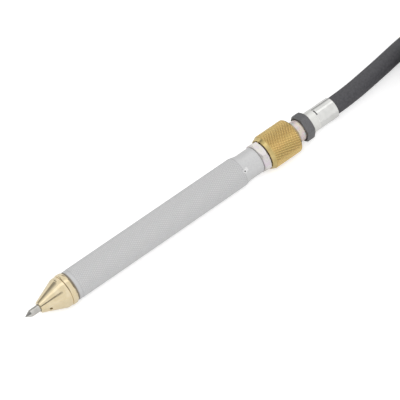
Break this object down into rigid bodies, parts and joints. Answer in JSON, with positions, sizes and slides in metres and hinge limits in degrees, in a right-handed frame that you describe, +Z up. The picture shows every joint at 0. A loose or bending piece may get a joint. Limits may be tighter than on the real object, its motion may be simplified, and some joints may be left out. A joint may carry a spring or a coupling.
{
  "type": "pneumatic engraving pen",
  "caption": "Slim air-driven engraving pen: carbide stylus in a brass cone nose, knurled grip barrel, brass throttle ring and a hose, its far end put away in a tied hank with a coupling plug.",
  "frame": {"origin": "on the floor under the middle of the pen, which lies on its throttle ring", "axes": "+X along the pen from the stylus point to the hose, +Z up"},
  "size_m": [0.3337, 0.0733, 0.0476],
  "materials": {
    "carbide": "ground",
    "nose_brass": "polished",
    "knob_brass": "knurled, satin",
    "barrel_aluminium": "fine knurl, satin",
    "plated": "polished nickel plate",
    "satin_plated": "matt nickel plate",
    "nut_steel": "dark oxide",
    "steel": "ground",
    "bronze": "sintered",
    "seal_rubber": "smooth",
    "hose_rubber": "matt",
    "strap_fabric": "woven"
  },
  "bodies": {
    "pen": {"stylus_spring": "steel", "stylus_bush": "bronze", "nose_cone": "nose_brass", "nose_gasket": "seal_rubber", "anvil_guide": "bronze", "cylinder_liner": "steel", "liner_seal_ring": "seal_rubber", "cylinder_head": "steel", "stack_washer": "steel", "barrel": "barrel_aluminium", "barrel_lock_screw": "steel", "stem_gasket": "seal_rubber", "throttle_stem": "plated", "throttle_seal_front": "seal_rubber", "throttle_seal_rear": "seal_rubber", "throttle_stop_pin": "steel", "inlet_filter": "bronze", "inlet_nipple": "plated", "nipple_washer": "seal_rubber", "union_nut": "nut_steel", "hose_tail": "steel", "tail_collar": "satin_plated", "crimp_ferrule": "plated", "air_hose": "hose_rubber", "hose_hank": "hose_rubber", "hank_tie": "strap_fabric", "plug_ferrule": "plated", "air_plug": "plated"},
    "stylus": {"stylus_point": "carbide", "stylus_anvil": "steel"},
    "piston": {"piston": "steel"},
    "knob": {"throttle_knob": "knob_brass"}
  },
  "joints": [
    {"name": "stylus_stroke", "type": "slide", "parent": "pen", "child": "stylus", "axis": [-1, 0, 0], "range_m": [0, 0.0015], "stiffness_N_per_m": 600, "springref_m": -0.0015, "deforming": ["stylus_spring"]},
    {"name": "piston_stroke", "type": "slide", "parent": "pen", "child": "piston", "axis": [1, 0, 0], "range_m": [0, 0.015]},
    {"name": "throttle_turn", "type": "hinge", "parent": "pen", "child": "knob", "pos_m": [0.05, 0, 0.0077], "axis": [1, 0, 0], "range_deg": [0, 100]}
  ]
}
